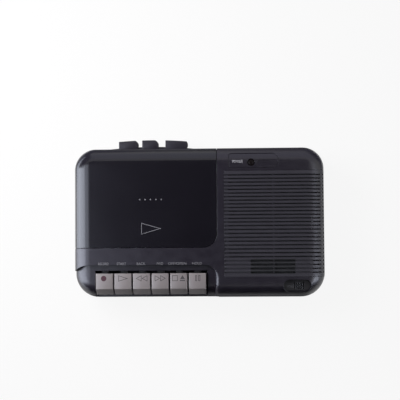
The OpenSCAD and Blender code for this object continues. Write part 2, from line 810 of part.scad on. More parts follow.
// Bushes of the two spindles
module spindle_bushes() {
    color(brass)
    for (x = [sup_x, tak_x]) place(x, hub_v, 0) difference() {
        union() {
            translate([0, 0, 16]) cylinder(r = 5, h = deck_z - 16);
            translate([0, 0, deck_z]) cylinder(r = 3.5, h = deck_t);
        }
        translate([0, 0, 10]) cylinder(r = 2.05, h = 20);
    }
}

// Sliding plate that carries the heads
module head_plate() {
    color(steel)
    difference() {
        place(tape_x - 27, 28.6, deck_top + 0.2) cube([67, 9, 1.2]);
        for (x = [tape_x - 22.6, tape_x + 20]) place(x - 1.5, 29.4, 20) cube([3, 7.6, 10]);
    }
}

// Record and play head
module play_head() {
    color(steel)
    place(tape_x, 28.8, deck_top + 1.4) difference() {
        union() {
            translate([-6, 0, 0]) cube([12, 5.6, 12]);
            intersection() {
                translate([-6, 0, 0]) cube([12, 9.6, 12]);
                translate([0, 3.2, 0]) cylinder(r = 6.4, h = 12);
            }
        }
        translate([-0.1, 9.2, 2]) cube([0.2, 2, 8]);
    }
}

// Erase head
module erase_head() {
    color([0.25, 0.25, 0.26])
    place(tape_x - 17, 30, deck_top + 1.4) {
        translate([-4, 0, 0]) cube([8, 5, 11]);
        intersection() {
            translate([-4, 0, 0]) cube([8, 8.2, 11]);
            translate([0, 3.2, 0]) cylinder(r = 5, h = 11);
        }
    }
}

// Forked arm that carries the pinch roller
module pinch_arm() {
    z = deck_top + 1.4;
    color(steel)
    union() {
        place(cap_x - 9, roller_v - 1.5, z) cube([11, 3, 1.4]);
        place(cap_x - 9, roller_v - 1.5, z) cube([2.4, 3, 11.6]);
        place(cap_x - 9, roller_v - 1.5, z + 10.4) cube([11, 3, 1.2]);
        place(cap_x, roller_v, z + 1) cylinder(r = 1, h = 10);
    }
}

// Rubber pinch roller
module pinch_roller() {
    color(rubber)
    place(cap_x, roller_v, tape_z - 4) difference() {
        cylinder(r = pinch_r, h = 7);
        translate([0, 0, -1]) cylinder(r = 1.05, h = 10);
    }
}

// Shaft that the six keys turn on
module key_shaft() {
    color(steel)
    place(-84.4, pivot_v, pivot_z) rotate([0, 90, 0]) cylinder(r = pivot_r, h = 97.2);
}

// One steel strip with a springy finger under each key
module key_spring() {
    color(steel)
    union() {
        place(key_x0 + 3, 26.2, deck_top) cube([key_n * key_pitch - 8, 2, 0.4]);
        for (i = [0 : key_n - 1]) side_profile(key_x0 + key_w / 2 + i * key_pitch - 1.5, 3)
            polygon([[26.6, deck_top], [26.2, deck_top], [18.6, 27.6], [18.8, 28], [26.3, deck_top + 0.4],
                [26.6, deck_top + 0.4]]);
    }
}

// Hollow piano key with its arm and hub on the shaft
module piano_key(i) {
    x = key_x0 + i * key_pitch;
    color(key_grey)
    difference() {
        union() {
            side_profile(x, key_w)
                polygon([[18.3, 31.5], [18.3, key_top], [6.7, key_top], [2.3, key_top - 5.4], [2.3, 27.2],
                    [4.1, 27.2], [8, 31.5]]);
            side_profile(x + key_w / 2 - 2.5, 5)
                polygon([[15, 31.5], [15, 33.4], [pivot_v, 33.4], [pivot_v, 28.5], [17.8, 29.2]]);
            place(x + key_w / 2 - 2.5, pivot_v, pivot_z) rotate([0, 90, 0]) cylinder(r = 2.6, h = 5);
        }
        side_profile(x + 1.4, key_w - 2.8)
            polygon([[16.7, 30], [16.7, key_top - 1.6], [7.4, key_top - 1.6], [4, key_top - 5.6], [4, 30]]);
        place(x, pivot_v, pivot_z) rotate([0, 90, 0]) cylinder(r = pivot_r + 0.05, h = key_w);
    }
}

module key_record() {
    piano_key(0);
}

module key_play() {
    piano_key(1);
}

module key_rewind() {
    piano_key(2);
}

module key_forward() {
    piano_key(3);
}

module key_stop() {
    piano_key(4);
}

module key_pause() {
    piano_key(5);
}

// Sliding catch that lets the door go
module eject_latch() {
    color([0.75, 0.75, 0.72])
    union() {
        place(2.4, 28.8, deck_top + 0.2) cube([3.6, 8.2, 2]);
        place(2.4, 35.4, deck_top + 2) cube([3.6, 1.6, 11]);
    }
}

// Smoked outer cover of the door, rolled over the left and rear edges
module door_cover() {
    color(door_black)
    intersection() {
        difference() {
            upper(0, part_z);
            upper(cover_t, part_z - 1);
        }
        door_space(0, 30, hinge_z + 0.1, 100, hinge_z, 104);
    }
}

// Inner frame of the door with the hinge ears and the window opening
module door_frame() {
    color([0.1, 0.1, 0.11])
    difference() {
        union() {
            intersection() {
                difference() {
                    upper(cover_t + 0.15, part_z - 1);
                    upper(cover_t + frame_t + 0.1, part_z - 2);
                }
                door_space(-0.1, 30, hinge_z + 0.1, 100, hinge_z, 104);
            }
            intersection() {
                upper(cover_t + 0.15, part_z - 1);
                for (x = [-79.6, 7.8]) side_profile(x, 2.8) {
                    translate([hinge_v, hinge_z]) circle(2.9);
                    translate([hinge_v - 2.9, hinge_z]) square([4.6, door_z - hinge_z + 0.4]);
                }
            }
            place(1.6, door_v + 1.2, door_z - 4.8) cube([5.2, 1.6, 5.2]);
        }
        for (x = [-81, 6.5]) place(x, hinge_v, hinge_z) rotate([0, 90, 0])
            cylinder(r = hinge_pin_r + 0.05, h = 6);
        for (x = [-76.8, 4.6]) place(x, hinge_v - 3.4, hinge_z - 5) cube([3.2, 7.2, 8.8]);
        place(left_x + 14, door_v + 8.5, door_z - 2) linear_extrude(3.6) offset_box(83, 50, 4);
    }
}

// Rounded rectangle from its lower left corner
module offset_box(w, d, r) {
    translate([r, 0]) square([w - 2 * r, d]);
    translate([0, r]) square([w, d - 2 * r]);
    for (x = [r, w - r]) for (v = [r, d - r]) translate([x, v]) circle(r);
}

// Two channels under the door that hold the cassette by its short ends
module cassette_guides() {
    color([0.1, 0.1, 0.11])
    intersection() {
        upper(cover_t + frame_t + 0.1, part_z);
        union() {
            place(left_x + 3.4, tape_v + 1, 26) cube([1, 60, door_z - 26]);
            place(left_x + 3.4, tape_v + 1, 26) cube([3.2, 60, 1.3]);
            place(tape_x + 50.5, tape_v + 9, 26) cube([1, 52, door_z - 26]);
            place(tape_x + 48.3, tape_v + 9, 26) cube([3.2, 52, 1.3]);
        }
    }
}

// Two leaf springs under the door that press the cassette down
module cassette_springs() {
    color(steel)
    for (x = [tape_x - 28, tape_x + 22]) side_profile(x, 6)
        polygon([[100.6, door_z], [97.6, door_z], [90.4, door_z - 1.6], [86.4, door_z - 0.8],
            [86.5, door_z - 1.2], [90.4, door_z - 2], [97.6, door_z - 0.4], [100.6, door_z - 0.4]]);
}

// Two pins of the door hinge
module hinge_pins() {
    color(steel)
    for (x = [-79.6, 5]) place(x, hinge_v, hinge_z) rotate([0, 90, 0]) cylinder(r = hinge_pin_r, h = 5.6);
}

// Plan of a slide knob: straight at its left side, rounded at its right side
module knob_plan(w, l) {
    r = 3;
    square([w - r, l + 1]);
    square([w, l - r]);
    translate([w - r, l - r]) intersection() {
        circle(r);
        square(r + 1);
    }
}

// Slide knob with its lever and the lip that runs over the strip, its end on an arc parallel to the strip
module slide_knob(i) {
    x = knob_x[i];
    w = knob_w[i];
    color([0.13, 0.13, 0.14])
    union() {
        intersection() {
            place(x, knob_v, knob_z0) linear_extrude(knob_z1 - knob_z0)
                knob_plan(w, body_d + knob_reach - knob_v);
            place(strip_x, body_d + knob_reach - strip_r, knob_z0 - 1)
                cylinder(r = strip_r, h = knob_z1 - knob_z0 + 2, $fn = 360);
        }
        place(x, body_d + 0.5, strip_z1 + 0.4) cube([w, strip_rise + 0.4, knob_z1 - strip_z1 - 0.4]);
        place(x + w / 2 - 2, body_d - 9.5, knob_z - 1.2) cube([4, knob_v - body_d + 10, 2.4]);
    }
}

module speed_slider() {
    slide_knob(0);
}

module tone_slider() {
    slide_knob(1);
}

module volume_slider() {
    slide_knob(2);
}

front_case();
rear_case();
speaker_grille();
speaker_cloth();
speaker_frame();
speaker_cone();
speaker_magnet();
indicator_lamp();
microphone();
microphone_boot();
rubber_feet();
case_screws();
battery_lid();
battery_springs();
battery_plates();
circuit_board();
slide_controls();
dc_jack();
ear_jack();
mic_jack();
deck_chassis();
deck_screws();
bay_tray();
locating_pins();
motor();
motor_pulley();
drive_belt();
flywheel();
capstan();
capstan_bearing();
idler_wheel();
idler_post();
supply_spindle();
takeup_spindle();
spindle_bushes();
head_plate();
play_head();
erase_head();
pinch_arm();
pinch_roller();
key_shaft();
key_spring();
key_record();
key_play();
key_rewind();
key_forward();
key_stop();
key_pause();
eject_latch();
door_cover();
door_frame();
cassette_guides();
cassette_springs();
hinge_pins();
speed_slider();
tone_slider();
volume_slider();
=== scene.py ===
"""Looks of a portable cassette recorder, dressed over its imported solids."""

import math

import bmesh
import bpy
from bpy.props import FloatProperty, FloatVectorProperty, IntProperty, PointerProperty
from mathutils import Euler, Matrix, Vector


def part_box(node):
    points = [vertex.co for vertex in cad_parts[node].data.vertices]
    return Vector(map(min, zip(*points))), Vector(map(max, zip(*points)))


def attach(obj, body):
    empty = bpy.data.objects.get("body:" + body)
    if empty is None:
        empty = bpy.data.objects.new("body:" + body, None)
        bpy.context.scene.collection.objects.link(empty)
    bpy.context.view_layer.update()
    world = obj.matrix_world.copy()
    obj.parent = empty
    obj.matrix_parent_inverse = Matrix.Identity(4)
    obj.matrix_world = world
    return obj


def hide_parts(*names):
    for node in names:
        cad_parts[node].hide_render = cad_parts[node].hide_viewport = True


bl_info = {
    "name": "Cassette Recorder Looks",
    "version": (1, 0, 0),
    "blender": (4, 5, 0),
    "location": "View3D > Sidebar > Recorder",
    "description": "Finishes, printed marks and studio of a portable cassette recorder",
    "category": "Object",
}

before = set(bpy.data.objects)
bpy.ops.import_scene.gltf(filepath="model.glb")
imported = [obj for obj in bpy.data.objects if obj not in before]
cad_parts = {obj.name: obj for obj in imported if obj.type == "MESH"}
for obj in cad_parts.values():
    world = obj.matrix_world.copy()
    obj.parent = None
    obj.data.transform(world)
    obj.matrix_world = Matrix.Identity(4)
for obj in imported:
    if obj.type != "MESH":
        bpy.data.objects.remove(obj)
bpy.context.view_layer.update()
MM = 0.001
FRONT_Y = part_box("front_case")[0].y
FACE_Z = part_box("front_case")[1].z
KEY_NAMES = ("record", "play", "rewind", "forward", "stop", "pause")
SLIDER_NAMES = ("speed", "tone", "volume")

# Words above the keys: text, place across the front and width, the last two in millimetres
KEY_WORDS = (("RECORD", -71.4, 7.6), ("START", -57.9, 7.0), ("BACK", -43.2, 6.4), ("FWD", -29.1, 4.6),
             ("OFF/OPEN", -16.2, 13.6), ("HOLD", -1.4, 7.2))
# From the key edge to the middle of a key's sign, and to the rear end of its cap
SIGN_ROW = 14.6 * MM
CAP_REAR = 18.25 * MM
# Width of the lines of the signs on the keys and of the mark on the door, in millimetres
SIGN_LINE = 0.4
MARK_LINE = 0.42
# Right wall, rear wall, corner radius and depth of the key shelf, in millimetres
SHELF_RIGHT = 14.7
SHELF_REAR = 24.6
SHELF_CORNER = 11.0
SHELF_DEPTH = 5.0
# Depth of the microphone recess, in millimetres
RECESS_DEPTH = 3.8
# A printed film starts this far below the surface that carries it
PRINT_SINK = 0.02 * MM
# Height of the crown in the shading of the front
CROWN_DEPTH = 1.5 * MM
# How far a fully rubbed edge turns paler
EDGE_WEAR = 0.25
# A Wave node of scale 1 repeats after this length
WAVE_PERIOD = math.pi / 10
# The colour sockets of a Mix node go by number, because its other kinds share their names
MIX_UNDER, MIX_OVER, MIX_RESULT = 6, 7, 2


def place(x, v, below=0.0):
    """Point at x across, v back from the key edge and below the front face, millimetres made metres."""
    return Vector((x * MM, FRONT_Y + v * MM, FACE_Z - below * MM))


def middle(node):
    """Centre of a solid's box."""
    low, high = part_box(node)
    return (low + high) / 2


class Finish:
    """One procedural finish: a Principled shader whose sockets take patterns read in object space."""

    def __init__(self, name, colour, roughness, fixed=None):
        self.material = bpy.data.materials.new(name)
        self.material.use_nodes = True
        self.nodes = self.material.node_tree.nodes
        self.links = self.material.node_tree.links
        self.shader = next(n for n in self.nodes if n.type == "BSDF_PRINCIPLED")
        self.colour = tuple(colour)
        self.shader.inputs["Base Color"].default_value = (*self.colour, 1.0)
        self.shader.inputs["Roughness"].default_value = roughness
        for socket, value in (fixed or {}).items():
            self.shader.inputs[socket].default_value = value
        self.object_space = self.nodes.new("ShaderNodeTexCoord").outputs["Object"]
        self.normal = None
        self.eased = None

    def feed(self, socket, value):
        """Links an input to another node's output, or sets its value."""
        if isinstance(value, bpy.types.NodeSocket):
            self.links.new(value, socket)
        else:
            socket.default_value = value

    def add(self, kind, settings=None, **inputs):
        """Adds one node with its settings, and with inputs that are values or links."""
        node = self.nodes.new("ShaderNode" + kind)
        for key, value in (settings or {}).items():
            setattr(node, key, value)
        for key, value in inputs.items():
            self.feed(node.inputs[key.replace("_", " ")], value)
        return node

    def worked(self, operation, *links):
        """Result of one Math node on linked values."""
        node = self.add("Math", {"operation": operation})
        for socket, link in zip(node.inputs, links):
            self.feed(socket, link)
        return node.outputs["Value"]

    def mapped(self, centre=(0, 0, 0), stretch=(1, 1, 1), turn=(0, 0, 0)):
        """Object coordinates about a centre, turned and then stretched."""
        moved = self.add("Mapping", Vector=self.object_space, Location=[-c for c in centre])
        turned = self.add("Mapping", Vector=moved.outputs["Vector"], Rotation=turn)
        return self.add("Mapping", Vector=turned.outputs["Vector"], Scale=stretch).outputs["Vector"]

    def noise(self, size, detail=2.0, vector=None):
        """Cloudy pattern whose patches are about size metres across."""
        node = self.add("TexNoise", Vector=vector or self.object_space, Scale=1 / size, Detail=detail)
        return node.outputs["Fac"]

    def cells(self, size):
        """Grainy pattern of cells about size metres across."""
        node = self.add("TexVoronoi", Vector=self.object_space, Scale=1 / size)
        return node.outputs["Distance"]

    def waves(self, pitch, direction, kind="BANDS", vector=None, distortion=0.0):
        """Even bands or rings, one every pitch metres."""
        settings = {"wave_type": kind, "bands_direction": direction, "rings_direction": direction}
        node = self.add("TexWave", settings, Vector=vector or self.object_space,
                        Scale=WAVE_PERIOD / pitch, Distortion=distortion, Detail=1.0)
        return node.outputs["Fac"]

    def ranged(self, pattern, low, high, start=0.3, end=0.7):
        """Pattern stretched from start..end to low..high."""
        node = self.add("MapRange", Value=pattern, From_Min=start, From_Max=end, To_Min=low, To_Max=high)
        return node.outputs["Result"]

    def mixed(self, factor, under, over):
        """Makes the base colour run from one colour to another, by a linked factor."""
        mix = self.add("Mix", {"data_type": "RGBA"}, Factor=factor)
        self.feed(mix.inputs[MIX_UNDER], under)
        self.feed(mix.inputs[MIX_OVER], over)
        self.feed(self.shader.inputs["Base Color"], mix.outputs[MIX_RESULT])
        return self

    def overlaid(self, factor, colour):
        """Lays a colour over the linked base colour, by a linked factor."""
        beneath = self.shader.inputs["Base Color"].links[0].from_socket
        return self.mixed(factor, beneath, (*colour, 1.0))

    def tint(self, pattern, spread, other=None, start=0.3, end=0.7):
        """Colour that runs from darker to lighter, or to another colour, with the pattern."""
        dark = [c * (1 - spread) for c in self.colour]
        light = other or [min(1.0, c * (1 + spread)) for c in self.colour]
        return self.mixed(self.ranged(pattern, 0.0, 1.0, start, end), (*dark, 1.0), (*light, 1.0))

    def gloss(self, pattern, low, high):
        """Roughness that follows the pattern."""
        self.links.new(self.ranged(pattern, low, high), self.shader.inputs["Roughness"])
        return self

    def soft_edges(self, radius):
        """Shades the edges as if they were rounded to that radius."""
        self.normal = self.eased = self.add("Bevel", {"samples": 6}, Radius=radius).outputs["Normal"]
        self.links.new(self.normal, self.shader.inputs["Normal"])
        return self

    def worn(self, share, patch):
        """Rubs the eased edges paler, in uneven patches."""
        facing = self.add("VectorMath", {"operation": "DOT_PRODUCT"})
        self.links.new(self.eased, facing.inputs[0])
        self.links.new(self.add("NewGeometry").outputs["Normal"], facing.inputs[1])
        edges = self.ranged(facing.outputs["Value"], share, 0.0, 0.8, 0.98)
        patches = self.ranged(self.noise(patch, 4.0), 0.0, 1.0, 0.4, 0.62)
        pale = [min(0.6, c * 2.5) for c in self.colour]
        return self.overlaid(self.worked("MULTIPLY", edges, patches), pale)

    def painted_shade(self, centre, half, share):
        """Paints shade: darkens the colour by a share inside a box of that centre and half size."""
        spot = self.add("SeparateXYZ", Vector=self.mapped(centre, [1 / h for h in half]))
        x, y, z = (self.worked("ABSOLUTE", spot.outputs[axis]) for axis in "XYZ")
        reach = self.worked("MAXIMUM", self.worked("MAXIMUM", x, y), z)
        return self.overlaid(self.ranged(reach, share, 0.0, 0.98, 1.02), (0.0, 0.0, 0.0))

    def crown(self, reach, depth):
        """Eases the turn from the flat front into its rolled rim, as a roll of that reach would."""
        low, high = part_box("front_case")
        split = self.add("SeparateXYZ", Vector=self.object_space)
        sides = []
        for axis in ("x", "y"):
            for edge, inner in ((getattr(low, axis), reach), (getattr(high, axis), -reach)):
                side = self.add("MapRange", {"interpolation_type": "SMOOTHSTEP"},
                                Value=split.outputs[axis.upper()], From_Min=edge, From_Max=edge + inner)
                sides.append(side.outputs["Result"])
        height = sides[0]
        for side in sides[1:]:
            height = self.worked("ADD", height, side)
        return self.relief(height, depth)

    def relief(self, pattern, depth):
        """Fine surface relief of that depth, laid over what is there already."""
        node = self.add("Bump", Height=pattern, Strength=1.0, Distance=depth)
        if self.normal:
            self.links.new(self.normal, node.inputs["Normal"])
        self.normal = node.outputs["Normal"]
        self.links.new(self.normal, self.shader.inputs["Normal"])
        return self


def moulded(name, colour, roughness, grain=0.35 * MM, depth=0.012 * MM, edge=0.3 * MM, crown=0):
    """Moulded plastic with a spark-eroded grain, eased edges and slow drifts of tone and gloss."""
    finish = Finish(name, colour, roughness).soft_edges(edge)
    if crown:
        finish.crown(crown, CROWN_DEPTH)
    finish.tint(finish.noise(28 * MM, 3.0), 0.05).worn(EDGE_WEAR, 5 * MM)
    finish.gloss(finish.noise(6 * MM, 4.0), roughness - 0.03, roughness + 0.04)
    return finish.relief(finish.noise(grain, 3.0), depth).relief(finish.cells(grain * 1.6), depth * 0.6)


def smoked_gloss(name, colour, roughness, edge, crown):
    """Glossy smoked plastic with a faint swell, drifts of haze and hairline rubs."""
    fixed = {"Specular IOR Level": 0.4, "Coat Weight": 0.15, "Coat Roughness": 0.12}
    finish = Finish(name, colour, roughness, fixed).soft_edges(edge).crown(crown, CROWN_DEPTH)
    finish.tint(finish.noise(45 * MM, 2.0), 0.06).worn(EDGE_WEAR, 8 * MM)
    finish.gloss(finish.noise(30 * MM, 2.0), roughness - 0.012, roughness + 0.015)
    rubs = finish.noise(0.9 * MM, 2.0, finish.mapped(turn=(0, 0, 0.5), stretch=(0.05, 1, 1)))
    return finish.relief(finish.noise(60 * MM, 1.0), 0.012 * MM).relief(rubs, 0.0004 * MM)


def rubbery(name, colour):
    """Matt rubber with a soft mottle."""
    finish = Finish(name, colour, 0.78)
    finish.tint(finish.noise(3 * MM, 4.0), 0.22)
    finish.gloss(finish.noise(1.5 * MM, 3.0), 0.68, 0.88)
    return finish.relief(finish.noise(0.25 * MM, 4.0), 0.02 * MM)


def drawn_metal(name, colour, roughness, along=(0.02, 1, 1)):
    """Rolled or plated metal with fine lines along one direction."""
    finish = Finish(name, colour, roughness, {"Metallic": 1.0})
    lines = finish.noise(0.3 * MM, 3.0, finish.mapped(stretch=along))
    finish.tint(finish.noise(9 * MM, 4.0), 0.1)
    finish.gloss(lines, roughness - 0.07, roughness + 0.1)
    return finish.relief(lines, 0.003 * MM)


def turned_metal(name, colour, roughness, centre):
    """Metal turned on a lathe, with rings about its own axis."""
    finish = Finish(name, colour, roughness, {"Metallic": 1.0})
    rings = finish.waves(0.22 * MM, "Z", "RINGS", finish.mapped(centre=centre), 0.6)
    finish.tint(finish.noise(5 * MM, 3.0), 0.08)
    finish.gloss(rings, roughness - 0.05, roughness + 0.08)
    return finish.relief(rings, 0.004 * MM)


def laminate(name, colour):
    """Lacquered board with paler copper tracks under the lacquer."""
    finish = Finish(name, colour, 0.32)
    tracks = finish.add("TexBrick", Vector=finish.mapped(stretch=(1, 1, 0)), Scale=120.0,
                        Mortar_Size=0.03, Color1=(0, 0, 0, 1), Color2=(0, 0, 0, 1), Mortar=(1, 1, 1, 1))
    finish.tint(tracks.outputs["Color"], 0.15, [c * 1.9 for c in finish.colour])
    finish.gloss(finish.noise(3 * MM, 3.0), 0.24, 0.4)
    return finish.relief(tracks.outputs["Color"], 0.03 * MM)


def sintered(name, colour):
    """Dull pressed ferrite with dark pores."""
    finish = Finish(name, colour, 0.62, {"Metallic": 0.3})
    pores = finish.cells(0.5 * MM)
    finish.tint(pores, 0.3, start=0.0, end=0.5)
    finish.gloss(finish.noise(2 * MM, 4.0), 0.5, 0.75)
    return finish.relief(pores, 0.02 * MM)


def paper(name, colour, centre):
    """Felted cone paper, pressed in rings."""
    finish = Finish(name, colour, 0.85)
    fibres = finish.noise(0.35 * MM, 5.0)
    finish.tint(fibres, 0.3)
    finish.gloss(finish.noise(1.2 * MM, 3.0), 0.78, 0.92)
    rings = finish.waves(2.2 * MM, "Z", "RINGS", finish.mapped(centre=centre, stretch=(1, 1, 0)))
    return finish.relief(rings, 0.15 * MM).relief(fibres, 0.04 * MM)


def woven(name, colour):
    """Open plain weave."""
    finish = Finish(name, colour, 0.9, {"Sheen Weight": 0.2})
    weave = finish.worked("MAXIMUM", finish.waves(0.5 * MM, "X"), finish.waves(0.5 * MM, "Y"))
    finish.tint(weave, 0.5, start=0.1, end=0.9)
    finish.gloss(finish.noise(2 * MM, 3.0), 0.82, 0.95)
    return finish.relief(weave, 0.12 * MM)


def lens_plastic(name, colour, centre):
    """Tinted lamp cap with fine rings moulded inside."""
    finish = Finish(name, colour, 0.35, {"Specular IOR Level": 0.12})
    rings = finish.waves(0.45 * MM, "Z", "RINGS", finish.mapped(centre=centre, stretch=(1, 1, 0)))
    finish.tint(rings, 0.35)
    finish.gloss(finish.noise(1 * MM, 2.0), 0.3, 0.42)
    return finish.relief(rings, 0.01 * MM)


def ink(name, colour):
    """Printed ink with a slightly uneven film."""
    finish = Finish(name, colour, 0.5)
    finish.tint(finish.noise(0.4 * MM, 3.0), 0.12)
    finish.gloss(finish.noise(0.6 * MM, 2.0), 0.42, 0.58)
    return finish.relief(finish.noise(0.15 * MM, 2.0), 0.004 * MM)


def dress(finish, *nodes):
    """Gives CAD nodes a finish in place of their plain colour."""
    for node in nodes:
        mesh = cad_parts[node].data
        mesh.materials.clear()
        mesh.materials.append(finish.material)


def finished(name, mesh, finish, body, stands_for=()):
    """Turns a mesh into a piece that rides on a body and takes a finish."""
    piece = bpy.data.objects.new(name, mesh)
    bpy.context.scene.collection.objects.link(piece)
    mesh.materials.append(finish.material)
    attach(piece, body)
    if stands_for:
        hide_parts(*stands_for)
    return piece


def mesh_from(bm, name, smooth_angle=None):
    """Mesh of a bmesh, smooth up to an angle in degrees."""
    mesh = bpy.data.meshes.new(name)
    bm.to_mesh(mesh)
    bm.free()
    if smooth_angle:
        mesh.shade_smooth()
        mesh.set_sharp_from_angle(angle=math.radians(smooth_angle))
    return mesh


def rounded(node, name, finish, body, width):
    """Copy of a solid with its sharp edges rounded, shown in place of the solid."""
    bm = bmesh.new()
    bm.from_mesh(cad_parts[node].data)
    bmesh.ops.remove_doubles(bm, verts=bm.verts, dist=0.001 * MM)
    bmesh.ops.dissolve_limit(bm, angle_limit=math.radians(0.4), verts=bm.verts, edges=bm.edges)
    least_turn = math.radians(25)
    sharp = [e for e in bm.edges if e.is_manifold and e.calc_face_angle() > least_turn]
    bmesh.ops.bevel(bm, geom=sharp, offset=width, offset_type="OFFSET", segments=3, profile=0.5,
                    affect="EDGES", material=-1, clamp_overlap=True)
    return finished(name, mesh_from(bm, name, smooth_angle=32), finish, body, [node])


def flat_print(bm, height):
    """Raises flat faces to a thin printed film."""
    raised = bmesh.ops.extrude_face_region(bm, geom=bm.faces[:])
    verts = [g for g in raised["geom"] if isinstance(g, bmesh.types.BMVert)]
    bmesh.ops.translate(bm, vec=(0, 0, height), verts=verts)
    bmesh.ops.recalc_face_normals(bm, faces=bm.faces)


def outline_face(bm, points, line=None):
    """Flat face through points in millimetres, kept only as a line along its rim if a width is given."""
    face = bm.faces.new([bm.verts.new((x * MM, y * MM, 0)) for x, y in points])
    face.normal_update()
    if line:
        bmesh.ops.inset_region(bm, faces=[face], thickness=line * MM, use_boundary=True, use_even_offset=True)
        bmesh.ops.delete(bm, geom=[face], context="FACES")


def disc_face(bm, x, y, radius, segments=24):
    """Flat round face, in millimetres."""
    bmesh.ops.create_circle(bm, cap_ends=True, segments=segments, radius=radius * MM,
                            matrix=Matrix.Translation((x * MM, y * MM, 0)))


def printed(name, bm, centre, finish, body, film):
    """Printed mark of flat faces, set on a surface."""
    flat_print(bm, film + PRINT_SINK)
    bmesh.ops.translate(bm, vec=centre - Vector((0, 0, PRINT_SINK)), verts=bm.verts)
    return finished(name, mesh_from(bm, name), finish, body)


def lettered(name, text, width, height, centre, finish, film):
    """Word printed on the case, as a mesh of that width and height centred on a point."""
    curve = bpy.data.curves.new(name, "FONT")
    curve.body = text
    curve.resolution_u = 3
    holder = bpy.data.objects.new(name + "_curve", curve)
    bpy.context.scene.collection.objects.link(holder)
    mesh = bpy.data.meshes.new_from_object(holder.evaluated_get(bpy.context.evaluated_depsgraph_get()))
    bpy.data.objects.remove(holder)
    bpy.data.curves.remove(curve)
    bm = bmesh.new()
    bm.from_mesh(mesh)
    bpy.data.meshes.remove(mesh)
    bmesh.ops.remove_doubles(bm, verts=bm.verts, dist=1e-4)
    xs = [v.co.x for v in bm.verts]
    ys = [v.co.y for v in bm.verts]
    stretch = (width / (max(xs) - min(xs)), height / (max(ys) - min(ys)), 1)
    bmesh.ops.translate(bm, vec=(-(max(xs) + min(xs)) / 2, -(max(ys) + min(ys)) / 2, 0), verts=bm.verts)
    bmesh.ops.scale(bm, vec=stretch, verts=bm.verts)
    return printed(name, bm, centre, finish, "case", film)


class RecorderColours(bpy.types.PropertyGroup):
    """Colours of the recorder's finishes, in linear light."""

    case: FloatVectorProperty(name="Case", description="Charcoal of the two case mouldings", subtype="COLOR",
                              default=(0.0138, 0.0106, 0.0190), min=0, max=1)
    grille: FloatVectorProperty(name="Grille", description="Charcoal of the ribbed speaker grille",
                                subtype="COLOR", default=(0.0200, 0.0166, 0.0255), min=0, max=1)
    door: FloatVectorProperty(name="Door", description="Smoked black of the cassette door", subtype="COLOR",
                              default=(0.0108, 0.0098, 0.0148), min=0, max=1)
    inner: FloatVectorProperty(name="Inner mouldings", description="Black of the mouldings inside the case",
                               subtype="COLOR", default=(0.012, 0.012, 0.013), min=0, max=1)
    key: FloatVectorProperty(name="Keys", description="Warm silver grey of the piano keys", subtype="COLOR",
                             default=(0.30, 0.272, 0.275), min=0, max=1)
    knob: FloatVectorProperty(name="Slide knobs", description="Black of the three slide knobs",
                              subtype="COLOR", default=(0.0165, 0.0138, 0.0215), min=0, max=1)
    print_light: FloatVectorProperty(name="Light print", description="Pale ink of the words and marks",
                                     subtype="COLOR", default=(0.33, 0.33, 0.36), min=0, max=1)
    print_dark: FloatVectorProperty(name="Key print", description="Grey ink of the signs on the keys",
                                    subtype="COLOR", default=(0.066, 0.056, 0.062), min=0, max=1)
    print_red: FloatVectorProperty(name="Record print", description="Maroon ink of the record dot",
                                   subtype="COLOR", default=(0.050, 0.006, 0.015), min=0, max=1)


class RecorderSizes(bpy.types.PropertyGroup):
    """Sizes of the details that the solids leave out."""

    case_round: FloatProperty(name="Case edges", description="Radius of the case's small edges",
                              subtype="DISTANCE", unit="LENGTH", default=0.3 * MM, min=0)
    key_round: FloatProperty(name="Key edges", description="Radius of the key edges", subtype="DISTANCE",
                             unit="LENGTH", default=0.5 * MM, min=0)
    rib_round: FloatProperty(name="Rib edges", description="Radius of the grille rib edges",
                             subtype="DISTANCE", unit="LENGTH", default=0.2 * MM, min=0)
    knob_round: FloatProperty(name="Knob edges", description="Radius of the slide knob edges",
                              subtype="DISTANCE", unit="LENGTH", default=0.4 * MM, min=0)
    roll_radius: FloatProperty(name="Roll radius", description="Radius of the case's rolled edge",
                               subtype="DISTANCE", unit="LENGTH", default=9.5 * MM, min=5 * MM, max=15 * MM)
    crown_reach: FloatProperty(name="Crown", description="From the rim to the flat of the front",
                               subtype="DISTANCE", unit="LENGTH", default=12.5 * MM, min=1 * MM)
    slope_width: FloatProperty(name="Slope width", description="Width of the slope beside the keys",
                               subtype="DISTANCE", unit="LENGTH", default=3.0 * MM, min=1 * MM, max=5 * MM)
    print_film: FloatProperty(name="Print film", description="Thickness of a printed mark",
                              subtype="DISTANCE", unit="LENGTH", default=0.03 * MM, min=0)
    word_height: FloatProperty(name="Word height", description="Height of the words above the keys",
                               subtype="DISTANCE", unit="LENGTH", default=1.9 * MM, min=0)
    word_row: FloatProperty(name="Word row", description="From the key edge to the words above the keys",
                            subtype="DISTANCE", unit="LENGTH", default=25.6 * MM)
    gauge_dots: IntProperty(name="Gauge dots", description="Number of dots on the tape gauge",
                            default=5, min=1)
    dot_radius: FloatProperty(name="Dot radius", description="Radius of a gauge dot", subtype="DISTANCE",
                              unit="LENGTH", default=0.55 * MM, min=0)
    dot_start: FloatProperty(name="First dot", description="Place of the first gauge dot across the front",
                             subtype="DISTANCE", unit="LENGTH", default=-44.0 * MM)
    dot_pitch: FloatProperty(name="Dot pitch", description="From one gauge dot to the next",
                             subtype="DISTANCE", unit="LENGTH", default=4.06 * MM)
    dot_row: FloatProperty(name="Dot row", description="From the key edge to the gauge dots",
                           subtype="DISTANCE", unit="LENGTH", default=73.4 * MM)
    mark_row: FloatProperty(name="Mark row", description="From the key edge to the tape direction mark",
                            subtype="DISTANCE", unit="LENGTH", default=51.7 * MM)


